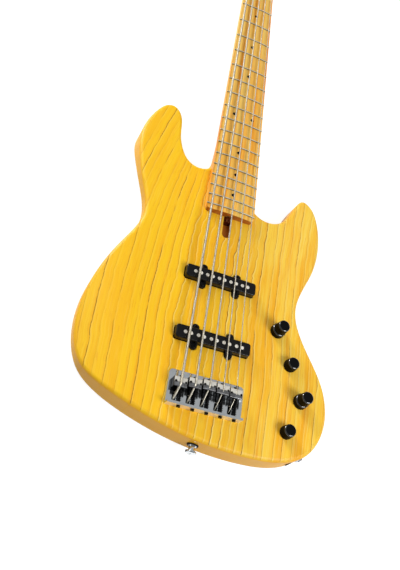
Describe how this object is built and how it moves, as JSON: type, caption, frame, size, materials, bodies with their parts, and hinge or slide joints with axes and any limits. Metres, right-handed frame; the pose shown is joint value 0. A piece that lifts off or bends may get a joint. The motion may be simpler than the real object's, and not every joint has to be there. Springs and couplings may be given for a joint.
{
  "type": "electric bass guitar",
  "caption": "Solid-body electric bass guitar with a yellow ash body, bolt-on maple neck, two bar pickups, string-through bridge with sliding saddles, geared tuners and stacked knobs.",
  "frame": {"origin": "on the flat back of the body, on the centre line, under the saddle line", "axes": "+Y along the neck to the headstock, +X to the thinnest string's side, +Z out of the front"},
  "size_m": [0.3513, 1.1659, 0.0649],
  "materials": {
    "body_finish": "satin lacquer over ash",
    "maple": "satin lacquer",
    "chrome_trim": "polished",
    "tuner_alloy": "polished",
    "steel": "plain",
    "string_steel": "wound",
    "black_gloss": "gloss",
    "black_matte": "matt",
    "knob_black": "gloss",
    "bone": "satin",
    "felt": "felt",
    "foam": "open-cell foam",
    "coil_wire": "taped winding",
    "circuit": "circuit board",
    "cell": "sleeved"
  },
  "bodies": {
    "instrument": {"body": "body_finish", "control_cover": "black_matte", "battery": "cell", "preamp_board": "circuit", "potentiometers": "steel", "wiring": "black_matte", "wood_screws": "chrome_trim", "bridge_screws": "chrome_trim", "neck_screws": "chrome_trim", "strap_button_screws": "chrome_trim", "body_ferrules": "chrome_trim", "strap_buttons": "chrome_trim", "strap_button_felts": "felt", "jack_plate": "black_matte", "output_jack": "chrome_trim", "neck": "maple", "fingerboard": "maple", "frets": "steel", "position_dots": "black_gloss", "nut": "bone", "truss_rod": "steel", "neck_pickup_cover": "black_gloss", "bridge_pickup_cover": "black_gloss", "pickup_coils": "coil_wire", "pickup_poles": "steel", "pickup_screws": "chrome_trim", "pickup_foam": "foam", "bridge_plate": "chrome_trim", "saddle_springs": "steel", "strings": "string_steel", "tuner_housings": "tuner_alloy", "tuner_bushings": "chrome_trim", "string_retainer": "chrome_trim"},
    "tuner_key_1": {"tuner_key_1": "tuner_alloy"},
    "tuner_post_1": {"tuner_post_1": "chrome_trim"},
    "intonation_screw_1": {"intonation_screw_1": "steel"},
    "saddle_1": {"saddle_1": "chrome_trim"},
    "tuner_key_2": {"tuner_key_2": "tuner_alloy"},
    "tuner_post_2": {"tuner_post_2": "chrome_trim"},
    "intonation_screw_2": {"intonation_screw_2": "steel"},
    "saddle_2": {"saddle_2": "chrome_trim"},
    "tuner_key_3": {"tuner_key_3": "tuner_alloy"},
    "tuner_post_3": {"tuner_post_3": "chrome_trim"},
    "intonation_screw_3": {"intonation_screw_3": "steel"},
    "saddle_3": {"saddle_3": "chrome_trim"},
    "tuner_key_4": {"tuner_key_4": "tuner_alloy"},
    "tuner_post_4": {"tuner_post_4": "chrome_trim"},
    "intonation_screw_4": {"intonation_screw_4": "steel"},
    "saddle_4": {"saddle_4": "chrome_trim"},
    "tuner_key_5": {"tuner_key_5": "tuner_alloy"},
    "tuner_post_5": {"tuner_post_5": "chrome_trim"},
    "intonation_screw_5": {"intonation_screw_5": "steel"},
    "saddle_5": {"saddle_5": "chrome_trim"},
    "knob_1_lower": {"knob_1_lower": "knob_black"},
    "knob_1_upper": {"knob_1_upper": "knob_black"},
    "knob_2": {"knob_2": "knob_black"},
    "knob_3_lower": {"knob_3_lower": "knob_black"},
    "knob_3_upper": {"knob_3_upper": "knob_black"},
    "knob_4": {"knob_4": "knob_black"},
    "truss_rod_wheel": {"truss_rod_wheel": "steel"}
  },
  "joints": [
    {"name": "tuner_key_1_turn", "type": "hinge", "parent": "instrument", "child": "tuner_key_1", "pos_m": [-0.0271, 0.89813, 0.0196], "axis": [-0.976, 0.2176, 0], "continuous": true, "deforming": ["strings"]},
    {"name": "tuner_post_1_turn", "type": "hinge", "parent": "instrument", "child": "tuner_post_1", "pos_m": [-0.02454, 0.9096, 0], "axis": [0, 0, 1], "continuous": true, "deforming": ["strings"]},
    {"name": "intonation_screw_1_turn", "type": "hinge", "parent": "instrument", "child": "intonation_screw_1", "pos_m": [-0.0344, -0.03, 0.0486], "axis": [0, 1, 0], "range_deg": [-1801, 1801], "deforming": ["strings", "saddle_springs"]},
    {"name": "saddle_1_slide", "type": "slide", "parent": "instrument", "child": "saddle_1", "axis": [0, 1, 0], "range_m": [-0.0035, 0.0035], "deforming": ["strings", "saddle_springs"]},
    {"name": "tuner_key_2_turn", "type": "hinge", "parent": "instrument", "child": "tuner_key_2", "pos_m": [-0.01737, 0.93613, 0.0196], "axis": [-0.976, 0.2176, 0], "continuous": true, "deforming": ["strings"]},
    {"name": "tuner_post_2_turn", "type": "hinge", "parent": "instrument", "child": "tuner_post_2", "pos_m": [-0.01481, 0.9476, 0], "axis": [0, 0, 1], "continuous": true, "deforming": ["strings"]},
    {"name": "intonation_screw_2_turn", "type": "hinge", "parent": "instrument", "child": "intonation_screw_2", "pos_m": [-0.0157, -0.03, 0.0486], "axis": [0, 1, 0], "range_deg": [-1801, 1801], "deforming": ["strings", "saddle_springs"]},
    {"name": "saddle_2_slide", "type": "slide", "parent": "instrument", "child": "saddle_2", "axis": [0, 1, 0], "range_m": [-0.0035, 0.0035], "deforming": ["strings", "saddle_springs"]},
    {"name": "tuner_key_3_turn", "type": "hinge", "parent": "instrument", "child": "tuner_key_3", "pos_m": [-0.00851, 0.97413, 0.0196], "axis": [-0.976, 0.2176, 0], "continuous": true, "deforming": ["strings"]},
    {"name": "tuner_post_3_turn", "type": "hinge", "parent": "instrument", "child": "tuner_post_3", "pos_m": [-0.00595, 0.9856, 0], "axis": [0, 0, 1], "continuous": true, "deforming": ["strings"]},
    {"name": "intonation_screw_3_turn", "type": "hinge", "parent": "instrument", "child": "intonation_screw_3", "pos_m": [0.003, -0.03, 0.0486], "axis": [0, 1, 0], "range_deg": [-1801, 1801], "deforming": ["strings", "saddle_springs"]},
    {"name": "saddle_3_slide", "type": "slide", "parent": "instrument", "child": "saddle_3", "axis": [0, 1, 0], "range_m": [-0.0035, 0.0035], "deforming": ["strings", "saddle_springs"]},
    {"name": "tuner_key_4_turn", "type": "hinge", "parent": "instrument", "child": "tuner_key_4", "pos_m": [-0.00046, 1.01213, 0.0196], "axis": [-0.976, 0.2176, 0], "continuous": true, "deforming": ["strings"]},
    {"name": "tuner_post_4_turn", "type": "hinge", "parent": "instrument", "child": "tuner_post_4", "pos_m": [0.0021, 1.0236, 0], "axis": [0, 0, 1], "continuous": true, "deforming": ["strings"]},
    {"name": "intonation_screw_4_turn", "type": "hinge", "parent": "instrument", "child": "intonation_screw_4", "pos_m": [0.0217, -0.03, 0.0486], "axis": [0, 1, 0], "range_deg": [-1801, 1801], "deforming": ["strings", "saddle_springs"]},
    {"name": "saddle_4_slide", "type": "slide", "parent": "instrument", "child": "saddle_4", "axis": [0, 1, 0], "range_m": [-0.0035, 0.0035], "deforming": ["strings", "saddle_springs"]},
    {"name": "tuner_key_5_turn", "type": "hinge", "parent": "instrument", "child": "tuner_key_5", "pos_m": [0.00679, 1.05013, 0.0196], "axis": [-0.976, 0.2176, 0], "continuous": true, "deforming": ["strings"]},
    {"name": "tuner_post_5_turn", "type": "hinge", "parent": "instrument", "child": "tuner_post_5", "pos_m": [0.00934, 1.0616, 0], "axis": [0, 0, 1], "continuous": true, "deforming": ["strings"]},
    {"name": "intonation_screw_5_turn", "type": "hinge", "parent": "instrument", "child": "intonation_screw_5", "pos_m": [0.0404, -0.03, 0.0486], "axis": [0, 1, 0], "range_deg": [-1801, 1801], "deforming": ["strings", "saddle_springs"]},
    {"name": "saddle_5_slide", "type": "slide", "parent": "instrument", "child": "saddle_5", "axis": [0, 1, 0], "range_m": [-0.0035, 0.0035], "deforming": ["strings", "saddle_springs"]},
    {"name": "knob_1_lower_turn", "type": "hinge", "parent": "instrument", "child": "knob_1_lower", "pos_m": [0.09231, 0.11008, 0.042], "axis": [0, 0, 1], "range_deg": [-150, 150]},
    {"name": "knob_1_upper_turn", "type": "hinge", "parent": "instrument", "child": "knob_1_upper", "pos_m": [0.09231, 0.11008, 0.042], "axis": [0, 0, 1], "range_deg": [-150, 150]},
    {"name": "knob_2_turn", "type": "hinge", "parent": "instrument", "child": "knob_2", "pos_m": [0.11513, 0.06526, 0.042], "axis": [0, 0, 1], "range_deg": [-150, 150]},
    {"name": "knob_3_lower_turn", "type": "hinge", "parent": "instrument", "child": "knob_3_lower", "pos_m": [0.13408, 0.01895, 0.042], "axis": [0, 0, 1], "range_deg": [-150, 150]},
    {"name": "knob_3_upper_turn", "type": "hinge", "parent": "instrument", "child": "knob_3_upper", "pos_m": [0.13408, 0.01895, 0.042], "axis": [0, 0, 1], "range_deg": [-150, 150]},
    {"name": "knob_4_turn", "type": "hinge", "parent": "instrument", "child": "knob_4", "pos_m": [0.11688, -0.02687, 0.042], "axis": [0, 0, 1], "range_deg": [-150, 150]},
    {"name": "truss_rod_wheel_turn", "type": "hinge", "parent": "instrument", "child": "truss_rod_wheel", "pos_m": [0, 0.25817, 0.04], "axis": [0, 1, 0], "range_deg": [-360, 360]}
  ],
  "couplings": [
    {"joint": "tuner_post_1_turn", "follows": "tuner_key_1_turn", "ratio": -0.05},
    {"joint": "intonation_screw_1_turn", "follows": "saddle_1_slide", "rad_per_m": 8976},
    {"joint": "tuner_post_2_turn", "follows": "tuner_key_2_turn", "ratio": -0.05},
    {"joint": "intonation_screw_2_turn", "follows": "saddle_2_slide", "rad_per_m": 8976},
    {"joint": "tuner_post_3_turn", "follows": "tuner_key_3_turn", "ratio": -0.05},
    {"joint": "intonation_screw_3_turn", "follows": "saddle_3_slide", "rad_per_m": 8976},
    {"joint": "tuner_post_4_turn", "follows": "tuner_key_4_turn", "ratio": -0.05},
    {"joint": "intonation_screw_4_turn", "follows": "saddle_4_slide", "rad_per_m": 8976},
    {"joint": "tuner_post_5_turn", "follows": "tuner_key_5_turn", "ratio": -0.05},
    {"joint": "intonation_screw_5_turn", "follows": "saddle_5_slide", "rad_per_m": 8976}
  ]
}
